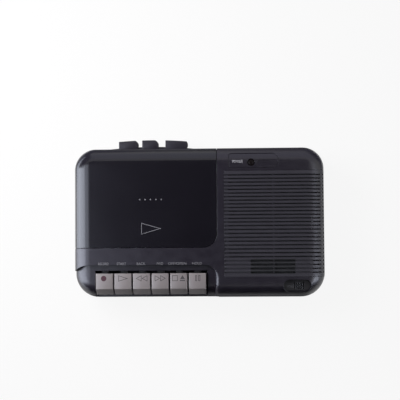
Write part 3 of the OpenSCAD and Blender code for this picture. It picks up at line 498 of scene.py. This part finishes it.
class RecorderStudio(bpy.types.PropertyGroup):
    """Camera and lights."""

    distance: FloatProperty(name="Camera distance", description="From the camera to the aim point",
                            subtype="DISTANCE", unit="LENGTH", default=0.7, min=0.1)
    lens: FloatProperty(name="Lens", description="Focal length on a 36 mm wide sensor, in millimetres",
                        unit="CAMERA", default=83.65, min=10)
    tilt: FloatVectorProperty(name="Tilt", description="Turn of the camera from straight down",
                              subtype="EULER", unit="ROTATION",
                              default=[math.radians(a) for a in (2.0, 2.1, -0.42)])
    aim: FloatVectorProperty(name="Aim", description="Point that the camera looks at", subtype="TRANSLATION",
                             unit="LENGTH", default=(0.0009, 0.01303, 0.035))
    left_light: FloatProperty(name="Left gloss", description="Power of the large panel mirrored at the left",
                              unit="POWER", default=3.3, min=0)
    low_light: FloatProperty(name="Low left gloss", description="Power of the panel that lies at the left",
                             unit="POWER", default=1.5, min=0)
    upper_light: FloatProperty(name="Upper left gloss", description="Power of the panel above the left one",
                               unit="POWER", default=1.15, min=0)
    crest_light: FloatProperty(name="Crest gloss", description="Power of the highest panel at the left",
                               unit="POWER", default=0.17, min=0)
    right_light: FloatProperty(name="Right gloss", description="Power of the panel mirrored at the right",
                               unit="POWER", default=0.6, min=0)
    corner_light: FloatProperty(name="Corner gloss", description="Power of the panel at the near right",
                                unit="POWER", default=3.2, min=0)
    side_light: FloatProperty(name="Side light", description="Power of the soft light at the far left",
                              unit="POWER", default=1.22, min=0)
    top_light: FloatProperty(name="Top light", description="Power of the soft overhead light", unit="POWER",
                             default=1.5, min=0)


class PieceOperator:
    """What the operators below share."""

    bl_options = {"REGISTER", "UNDO"}

    @property
    def colours(self):
        """Colours as set in the scene."""
        return bpy.context.scene.recorder_colours

    @property
    def sizes(self):
        """Sizes as set in the scene."""
        return bpy.context.scene.recorder_sizes


class RECORDER_OT_case(PieceOperator, bpy.types.Operator):
    """Finishes the two case mouldings and the battery lid and adds the slope beside the keys"""

    bl_idname = "recorder.case"
    bl_label = "Case"

    def execute(self, context):
        charcoal = moulded("charcoal_case_plastic", self.colours.case, 0.33, edge=self.sizes.case_round,
                           crown=self.sizes.crown_reach)
        # Painted shade: the case colour is darker inside the microphone recess.
        recess = place(73, 8.5, 3)
        charcoal.painted_shade(recess, (11 * MM, 5.2 * MM, 2.4 * MM), 0.6)
        dress(charcoal, "front_case", "rear_case", "battery_lid")
        finished("key_shelf_slope", self.shelf_slope(), charcoal, "case")
        return {"FINISHED"}

    def shelf_slope(self):
        """Curved slope along the right wall of the key shelf, which fades out round its rear corner."""
        bm = bmesh.new()
        loops = []
        for x, v, turn, share in self.slope_stations():
            ring = []
            for inward, down in self.slope_section(self.sizes.slope_width / MM * share):
                at = v - inward * math.sin(turn)
                spot = place(x - inward * math.cos(turn), at, self.roll_drop(at) + down)
                ring.append(bm.verts.new(spot))
            loops.append([bm.edges.new(ends) for ends in zip(ring, ring[1:] + ring[:1])])
        for near, far in zip(loops, loops[1:]):
            bmesh.ops.bridge_loops(bm, edges=near + far)
        bmesh.ops.holes_fill(bm, edges=loops[0] + loops[-1])
        bmesh.ops.recalc_face_normals(bm, faces=bm.faces)
        return mesh_from(bm, "key_shelf_slope", smooth_angle=40)

    @staticmethod
    def slope_stations():
        """Points along the wall, in millimetres, with its turn there and the share of the full width."""
        start, bend, steps = 0.4, SHELF_REAR - SHELF_CORNER, 16
        for i in range(steps):
            yield SHELF_RIGHT, start + (bend - start) * i / steps, 0.0, 1.0
        sweep, fade, last = math.radians(68), 0.92, 14
        for i in range(last + 1):
            turn = sweep * i / last
            x = SHELF_RIGHT - SHELF_CORNER + SHELF_CORNER * math.cos(turn)
            yield x, bend + SHELF_CORNER * math.sin(turn), turn, 1 - fade * (i / last) ** 1.5

    @staticmethod
    def slope_section(wide):
        """Section as distances inward from the wall and down, its hidden sides sunk into the case."""
        lip, hidden, sunk, steps = 0.03, 0.5, 0.3, 8
        curve = [math.radians(90 * k / steps) for k in range(steps + 1)]
        section = [(wide * math.sin(t), lip + SHELF_DEPTH * (1 - math.cos(t))) for t in curve]
        return section + [(wide, SHELF_DEPTH + sunk), (-sunk, SHELF_DEPTH + sunk), (-sunk, hidden)]

    def roll_drop(self, v):
        """Drop of the case's rolled front edge at a distance from that edge, in millimetres."""
        radius = self.sizes.roll_radius / MM
        return radius - math.sqrt(radius ** 2 - max(0.0, radius - v) ** 2)


class RECORDER_OT_speaker(PieceOperator, bpy.types.Operator):
    """Finishes the grille and the loudspeaker and stretches the cloth behind the slots"""

    bl_idname = "recorder.speaker"
    bl_label = "Speaker"

    def execute(self, context):
        centre = middle("speaker_cloth")
        ribs = moulded("ribbed_grille_plastic", self.colours.grille, 0.46, edge=self.sizes.rib_round,
                       crown=self.sizes.crown_reach)
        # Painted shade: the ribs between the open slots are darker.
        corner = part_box("speaker_grille")[0]
        slots = (corner.x + 36 * MM, corner.y + 7.65 * MM, FACE_Z)
        ribs.painted_shade(slots, (16.6 * MM, 5.6 * MM, 9 * MM), 0.75)
        dress(ribs, "speaker_grille")
        dress(paper("pressed_cone_paper", (0.02, 0.02, 0.02), centre), "speaker_cone")
        dress(drawn_metal("speaker_frame_steel", (0.55, 0.56, 0.58), 0.38), "speaker_frame")
        dress(sintered("magnet_ferrite_block", (0.045, 0.045, 0.05)), "speaker_magnet")
        low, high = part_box("speaker_cloth")
        width, length = high.x - low.x, high.y - low.y
        bm = bmesh.new()
        bmesh.ops.create_grid(bm, x_segments=20, y_segments=24, size=0.5)
        bmesh.ops.scale(bm, vec=(width, length, 1), verts=bm.verts)
        bmesh.ops.translate(bm, vec=centre, verts=bm.verts)
        cloth = finished("grille_cloth_sheet", mesh_from(bm, "grille_cloth_sheet"),
                         woven("black_grille_weave", (0.012, 0.012, 0.013)), "case",
                         ["speaker_cloth"])
        return {"FINISHED"}


class RECORDER_OT_door(PieceOperator, bpy.types.Operator):
    """Finishes the cassette door and prints the gauge dots and the tape direction mark on it"""

    bl_idname = "recorder.door"
    bl_label = "Cassette door"

    def execute(self, context):
        sizes = self.sizes
        smoked = smoked_gloss("smoked_door_plastic", self.colours.door, 0.2, sizes.case_round,
                              sizes.crown_reach)
        dress(smoked, "door_cover")
        satin = moulded("door_frame_plastic", self.colours.inner, 0.45, grain=0.3 * MM, depth=0.008 * MM)
        dress(satin, "door_frame", "cassette_guides")
        dress(drawn_metal("leaf_spring_steel", (0.62, 0.62, 0.63), 0.25, (1, 0.02, 1)), "cassette_springs")
        dress(turned_metal("hinge_pin_steel", (0.58, 0.58, 0.6), 0.3, middle("hinge_pins")), "hinge_pins")
        pale = ink("pale_door_ink", [c * 0.62 for c in self.colours.print_light])
        dots = bmesh.new()
        for i in range(sizes.gauge_dots):
            disc_face(dots, (sizes.dot_start + i * sizes.dot_pitch) / MM, 0, sizes.dot_radius / MM)
        printed("tape_gauge_dots", dots, place(0, sizes.dot_row / MM), pale, "door",
                sizes.print_film)
        mark = bmesh.new()
        outline_face(mark, [(-42.9, -4.4), (-27.9, 0), (-42.9, 4.3)], MARK_LINE)
        printed("tape_direction_mark", mark, place(0, sizes.mark_row / MM), pale, "door",
                sizes.print_film)
        return {"FINISHED"}


class RECORDER_OT_keys(PieceOperator, bpy.types.Operator):
    """Rounds and finishes the six keys and prints their signs"""

    bl_idname = "recorder.keys"
    bl_label = "Keys"

    def execute(self, context):
        satin = moulded("silver_key_plastic", self.colours.key, 0.4, grain=0.22 * MM, depth=0.006 * MM)
        lever = moulded("black_lever_plastic", self.colours.inner, 0.55, grain=0.22 * MM, depth=0.006 * MM)
        grey = ink("grey_key_ink", self.colours.print_dark)
        red = ink("maroon_key_ink", self.colours.print_red)
        for name in KEY_NAMES:
            node, body = "key_" + name, name + "_key"
            cap = rounded(node, name + "_keycap", satin, body, self.sizes.key_round)
            self.darken_lever(cap.data, lever)
            low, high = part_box(node)
            sign = bmesh.new()
            getattr(self, name)(sign)
            spot = Vector(((low.x + high.x) / 2, FRONT_Y + SIGN_ROW, high.z))
            printed(name + "_sign", sign, spot, red if name == "record" else grey, body,
                    self.sizes.print_film)
        dress(turned_metal("key_shaft_steel", (0.55, 0.55, 0.57), 0.28, middle("key_shaft")), "key_shaft")
        dress(drawn_metal("key_spring_steel", (0.6, 0.6, 0.62), 0.26, (1, 0.02, 1)), "key_spring")
        catch = moulded("catch_plastic", (0.5, 0.5, 0.46), 0.42, grain=0.25 * MM, depth=0.006 * MM)
        dress(catch, "eject_latch")
        return {"FINISHED"}

    @staticmethod
    def darken_lever(mesh, finish):
        """Gives the faces behind the cap's rear end the black lever finish, darker than the cap."""
        mesh.materials.append(finish.material)
        for face in mesh.polygons:
            if face.center.y > FRONT_Y + CAP_REAR:
                face.material_index = 1

    @staticmethod
    def record(sign):
        """Filled dot."""
        disc_face(sign, -0.5, 0, 2.05, 32)

    @staticmethod
    def play(sign):
        """Triangle that points right."""
        outline_face(sign, [(-3.5, -2.3), (3.9, 0), (-3.5, 2.3)], SIGN_LINE)

    @staticmethod
    def rewind(sign):
        """Two triangles that point left."""
        for x in (-4.3, 0.1):
            outline_face(sign, [(x, 0), (x + 4.3, -2.3), (x + 4.3, 2.3)], SIGN_LINE)

    @staticmethod
    def forward(sign):
        """Two triangles that point right."""
        for x in (0.1, 4.3):
            outline_face(sign, [(x, 0), (x - 4.1, 2.3), (x - 4.1, -2.3)], SIGN_LINE)

    @staticmethod
    def stop(sign):
        """Square, and a filled triangle over a bar."""
        outline_face(sign, [(-5.0, -2.1), (-0.8, -2.1), (-0.8, 2.1), (-5.0, 2.1)], SIGN_LINE)
        outline_face(sign, [(0.9, -0.7), (4.7, -0.7), (2.8, 2.2)])
        outline_face(sign, [(0.9, -2.1), (4.7, -2.1), (4.7, -1.3), (0.9, -1.3)])

    @staticmethod
    def pause(sign):
        """Two upright bars."""
        for x in (-1.7, 0.7):
            outline_face(sign, [(x, -2.2), (x + 1.4, -2.2), (x + 1.4, 2.2), (x, 2.2)], SIGN_LINE)


class RECORDER_OT_words(PieceOperator, bpy.types.Operator):
    """Prints plain function words by the keys, the lamp and the microphone"""

    bl_idname = "recorder.words"
    bl_label = "Function words"

    def execute(self, context):
        film, light = self.sizes.print_film, self.colours.print_light
        pale = ink("pale_word_ink", [c * 0.75 for c in light])
        for word, x, wide in KEY_WORDS:
            name = word.lower().replace("/", "_") + "_word"
            spot = place(x, self.sizes.word_row / MM)
            lettered(name, word, wide * MM, self.sizes.word_height, spot, pale, film)
        white = ink("white_word_ink", [min(1.0, c * 1.7) for c in light])
        lettered("lamp_word", "POWER", 7.8 * MM, 2.2 * MM, place(29.4, 101.2), white, film)
        dim = ink("dim_word_ink", [c * 0.28 for c in light])
        spot = place(68.0, 7.8, RECESS_DEPTH)
        lettered("microphone_word", "VOICE", 4.8 * MM, 1.7 * MM, spot, dim, film)
        return {"FINISHED"}


class RECORDER_OT_fittings(PieceOperator, bpy.types.Operator):
    """Finishes the lamp, microphone, sockets, slide knobs and control bodies"""

    bl_idname = "recorder.fittings"
    bl_label = "Fittings"

    def execute(self, context):
        dress(lens_plastic("lamp_cap_plastic", (0.005, 0.0026, 0.003), middle("indicator_lamp")),
              "indicator_lamp")
        dress(rubbery("microphone_felt_black", (0.011, 0.011, 0.012)), "microphone")
        dress(rubbery("microphone_boot_rubber", (0.014, 0.014, 0.014)), "microphone_boot")
        gloss = moulded("socket_plastic_black", (0.01, 0.01, 0.011), 0.28, grain=0.3 * MM, depth=0.003 * MM)
        dress(gloss, "dc_jack", "ear_jack", "mic_jack")
        satin = moulded("slide_knob_plastic", self.colours.knob, 0.42, grain=0.25 * MM, depth=0.008 * MM)
        for name in SLIDER_NAMES:
            rounded(name + "_slider", name + "_slide_knob", satin, name + "_knob",
                    self.sizes.knob_round)
        dress(drawn_metal("control_body_steel", (0.55, 0.56, 0.58), 0.34), "slide_controls")
        dress(laminate("green_circuit_board", (0.012, 0.06, 0.022)), "circuit_board")
        return {"FINISHED"}


class RECORDER_OT_deck(PieceOperator, bpy.types.Operator):
    """Finishes the tape deck under the door"""

    bl_idname = "recorder.deck"
    bl_label = "Tape deck"

    def execute(self, context):
        plated = drawn_metal("zinc_plated_steel", (0.52, 0.53, 0.54), 0.36)
        dress(plated, "deck_chassis", "head_plate", "pinch_arm", "motor")
        bright = drawn_metal("bright_steel", (0.6, 0.6, 0.61), 0.24)
        dress(bright, "deck_screws", "locating_pins", "idler_post")
        tray = moulded("bay_tray_plastic", self.colours.inner, 0.5)
        dress(tray, "bay_tray")
        spindle = moulded("spindle_plastic", (0.02, 0.02, 0.021), 0.4, grain=0.25 * MM, depth=0.006 * MM)
        dress(spindle, "supply_spindle", "takeup_spindle", "erase_head")
        rubber = rubbery("drive_rubber", (0.012, 0.012, 0.012))
        dress(rubber, "drive_belt", "idler_wheel", "pinch_roller")
        brass = (0.56, 0.36, 0.12)
        for node in ("motor_pulley", "flywheel", "capstan_bearing", "spindle_bushes"):
            dress(turned_metal(node + "_brass", brass, 0.3, middle(node)), node)
        dress(turned_metal("capstan_steel", (0.66, 0.66, 0.67), 0.16, middle("capstan")), "capstan")
        dress(drawn_metal("polished_head_metal", (0.68, 0.68, 0.69), 0.16, (1, 1, 0.02)), "play_head")
        return {"FINISHED"}


class RECORDER_OT_underside(PieceOperator, bpy.types.Operator):
    """Finishes the feet, the case screws and the battery contacts"""

    bl_idname = "recorder.underside"
    bl_label = "Underside"

    def execute(self, context):
        dress(rubbery("foot_rubber", (0.013, 0.013, 0.013)), "rubber_feet")
        dress(drawn_metal("case_screw_steel", (0.5, 0.5, 0.52), 0.3), "case_screws")
        contact = drawn_metal("contact_spring_steel", (0.64, 0.64, 0.62), 0.24, (1, 1, 0.02))
        dress(contact, "battery_springs", "battery_plates")
        return {"FINISHED"}


class RECORDER_OT_studio(bpy.types.Operator):
    """Sets the floor, the lights and the camera"""

    bl_idname = "recorder.studio"
    bl_label = "Studio"

    def execute(self, context):
        studio = context.scene.recorder_studio
        context.scene.view_settings.view_transform = "Standard"
        self.camera(context, studio)
        self.floor()
        self.world(context)
        cool, plain = (0.8, 0.86, 1.0), (1.0, 0.98, 1.0)
        self.panel_light("left_panel", studio.left_light, 188, 18, 0.45, (0.34, 0.42), cool, "gloss")
        self.panel_light("upper_left_panel", studio.upper_light, 188, 54, 0.6, (0.36, 0.28), cool, "gloss")
        self.panel_light("crest_panel", studio.crest_light, 188, 66, 0.65, (0.36, 0.115), cool, "gloss")
        # This panel lies just over the floor and faces up
        low = self.panel_light("low_left_panel", studio.low_light, 188, 0, 0.33, (0.4, 0.32), cool, "gloss")
        low.location.z = 2 * MM
        low.rotation_euler = (math.pi, 0, math.pi / 2)
        self.panel_light("right_panel", studio.right_light, 0, 40, 0.8, (0.5, 0.5), cool, "gloss")
        self.panel_light("corner_panel", studio.corner_light, 330, 22, 0.6, (0.36, 0.4), cool, "gloss")
        self.panel_light("side_panel", studio.side_light, 150, 40, 0.36, (0.25, 0.25), plain, "matt")
        self.panel_light("top_panel", studio.top_light, 90, 62, 1.0, (1.0, 0.6), plain, "matt")
        # The last three cards lie just over the floor
        lying = 0.4 * MM
        self.card("ceiling_card", (-0.2, 0.02, 0.95), (1.0, 0.9), 0, 0, (0, 0, 0))
        self.card("front_card", (0, -0.46, 0.59), (1.8, 1.3), 65, 0, (0, 0, 0))
        self.card("rear_card", (0.1, 0.9, 0.5), (2.4, 1.3), 90, 0, (0.84, 0.86, 1.0))
        self.card("far_left_card", (-0.55, 0.45, 0.3), (0.7, 0.8), 90, 50, (0.17, 0.17, 0.24))
        self.card("left_corner_card", (-0.27, 0.3, lying), (0.2, 0.56), 0, 38, (0.14, 0.14, 0.2))
        self.card("right_corner_card", (0.27, 0.3, lying), (0.24, 0.56), 0, -38, (0.14, 0.14, 0.2))
        # The shadow card is a painted shadow of the object on the floor, seen only in reflections.
        self.card("shadow_card", (0, 0.03, lying), (0.19, 0.3), 0, 0, (0.2, 0.2, 0.22))
        return {"FINISHED"}

    @staticmethod
    def camera(context, studio):
        """Camera over the front face, turned from straight down by the tilt."""
        data = bpy.data.cameras.new("front_camera")
        data.lens = studio.lens
        data.sensor_width = 36.0
        camera = bpy.data.objects.new("front_camera", data)
        context.scene.collection.objects.link(camera)
        turn = Euler(studio.tilt, "XYZ")
        camera.rotation_euler = turn
        camera.location = Vector(studio.aim) + turn.to_matrix() @ Vector((0, 0, studio.distance))
        context.scene.camera = camera

    @staticmethod
    def seen_white(nodes, links, lit, kind, share):
        """Shows a share of white to the camera and in reflections, and leaves the rest to a lit shader."""
        path = nodes.new("ShaderNodeLightPath")
        seen = path.outputs["Is Camera Ray"]
        for ray in ("Is Glossy Ray", "Is Transmission Ray"):
            either = nodes.new("ShaderNodeMath")
            either.operation = "MAXIMUM"
            links.new(seen, either.inputs[0])
            links.new(path.outputs[ray], either.inputs[1])
            seen = either.outputs["Value"]
        part = nodes.new("ShaderNodeMath")
        part.operation = "MULTIPLY"
        part.inputs[1].default_value = share
        links.new(seen, part.inputs[0])
        white = nodes.new("ShaderNode" + kind)
        white.inputs["Color"].default_value = (1, 1, 1, 1)
        mix = nodes.new("ShaderNodeMixShader")
        links.new(part.outputs["Value"], mix.inputs["Fac"])
        links.new(lit, mix.inputs[1])
        links.new(white.outputs[0], mix.inputs[2])
        return mix.outputs["Shader"]

    def floor(self):
        """White floor of 8 by 8 metres that keeps a faint shadow."""
        bm = bmesh.new()
        bmesh.ops.create_grid(bm, x_segments=1, y_segments=1, size=4.0)
        floor = bpy.data.objects.new("floor", mesh_from(bm, "floor"))
        bpy.context.scene.collection.objects.link(floor)
        material = bpy.data.materials.new("white_floor")
        material.use_nodes = True
        nodes, links = material.node_tree.nodes, material.node_tree.links
        shader = next(n for n in nodes if n.type == "BSDF_PRINCIPLED")
        shader.inputs["Base Color"].default_value = (0.9, 0.9, 0.9, 1)
        shader.inputs["Roughness"].default_value = 0.9
        output = next(n for n in nodes if n.type == "OUTPUT_MATERIAL")
        shown = self.seen_white(nodes, links, shader.outputs["BSDF"], "Emission", 0.9)
        links.new(shown, output.inputs["Surface"])
        floor.data.materials.append(material)

    def world(self, context):
        """World that looks white and gives the object a low fill."""
        world = bpy.data.worlds.new("studio_world")
        world.use_nodes = True
        nodes, links = world.node_tree.nodes, world.node_tree.links
        fill = next(n for n in nodes if n.type == "BACKGROUND")
        fill.inputs["Color"].default_value = (0.97, 0.98, 1.0, 1)
        fill.inputs["Strength"].default_value = 0.06
        output = next(n for n in nodes if n.type == "OUTPUT_WORLD")
        shown = self.seen_white(nodes, links, fill.outputs["Background"], "Background", 1)
        links.new(shown, output.inputs["Surface"])
        context.scene.world = world

    @staticmethod
    def panel_light(name, power, azimuth, elevation, distance, size, colour, part):
        """Light for the gloss or the matt part of the finishes; azimuth runs from the right to the rear."""
        data = bpy.data.lights.new(name, "AREA")
        data.shape = "RECTANGLE"
        data.size, data.size_y = size
        data.energy = power
        data.color = colour
        light = bpy.data.objects.new(name, data)
        bpy.context.scene.collection.objects.link(light)
        a, e = math.radians(azimuth), math.radians(elevation)
        out = Vector((math.cos(e) * math.cos(a), math.cos(e) * math.sin(a), math.sin(e)))
        light.location = Vector((0, 0, FACE_Z)) + out * distance
        light.rotation_euler = (-out).to_track_quat("-Z", "Y").to_euler()
        light.visible_camera = False
        light.visible_diffuse = part == "matt"
        light.visible_glossy = part == "gloss"
        return light

    @staticmethod
    def card(name, location, size, lean, turn, shade):
        """Card that shows only in reflections, its near edge raised by the lean, then turned."""
        bm = bmesh.new()
        bmesh.ops.create_grid(bm, x_segments=1, y_segments=1, size=0.5)
        bmesh.ops.scale(bm, vec=(*size, 1), verts=bm.verts)
        bmesh.ops.rotate(bm, matrix=Matrix.Rotation(math.radians(-lean), 3, "X"), verts=bm.verts)
        bmesh.ops.rotate(bm, matrix=Matrix.Rotation(math.radians(turn), 3, "Z"), verts=bm.verts)
        bmesh.ops.translate(bm, vec=location, verts=bm.verts)
        card = bpy.data.objects.new(name, mesh_from(bm, name))
        bpy.context.scene.collection.objects.link(card)
        material = bpy.data.materials.new(name + "_felt")
        material.use_nodes = True
        shader = next(n for n in material.node_tree.nodes if n.type == "BSDF_PRINCIPLED")
        shader.inputs["Base Color"].default_value = (0.01, 0.01, 0.012, 1)
        shader.inputs["Emission Color"].default_value = (*shade, 1)
        shader.inputs["Emission Strength"].default_value = 1.0
        shader.inputs["Roughness"].default_value = 1.0
        shader.inputs["Specular IOR Level"].default_value = 0.0
        card.data.materials.append(material)
        card.visible_camera = False
        card.visible_diffuse = False
        card.visible_shadow = False
        card.visible_transmission = False


class RECORDER_PT_panel(bpy.types.Panel):
    """Lists the recorder's operators and settings"""

    bl_idname = "RECORDER_PT_panel"
    bl_label = "Cassette Recorder"
    bl_space_type = "VIEW_3D"
    bl_region_type = "UI"
    bl_category = "Recorder"

    def draw(self, context):
        for group in (context.scene.recorder_colours, context.scene.recorder_sizes,
                      context.scene.recorder_studio):
            for key in group.__annotations__:
                self.layout.prop(group, key)
        for operator in OPERATORS:
            self.layout.operator(operator.bl_idname)


OPERATORS = (RECORDER_OT_case, RECORDER_OT_speaker, RECORDER_OT_door, RECORDER_OT_keys, RECORDER_OT_words,
             RECORDER_OT_fittings, RECORDER_OT_deck, RECORDER_OT_underside, RECORDER_OT_studio)
GROUPS = {"recorder_colours": RecorderColours, "recorder_sizes": RecorderSizes,
          "recorder_studio": RecorderStudio}
CLASSES = (*GROUPS.values(), *OPERATORS, RECORDER_PT_panel)


def register():
    """Registers the classes and gives the scene its settings."""
    for cls in CLASSES:
        bpy.utils.register_class(cls)
    for name, group in GROUPS.items():
        setattr(bpy.types.Scene, name, PointerProperty(type=group))


def unregister():
    """Takes the settings and the classes away again."""
    for name in GROUPS:
        delattr(bpy.types.Scene, name)
    for cls in reversed(CLASSES):
        bpy.utils.unregister_class(cls)


def main():
    register()
    for operator in OPERATORS:
        group, name = operator.bl_idname.split(".")
        getattr(getattr(bpy.ops, group), name)()


if __name__ == "__main__":
    main()
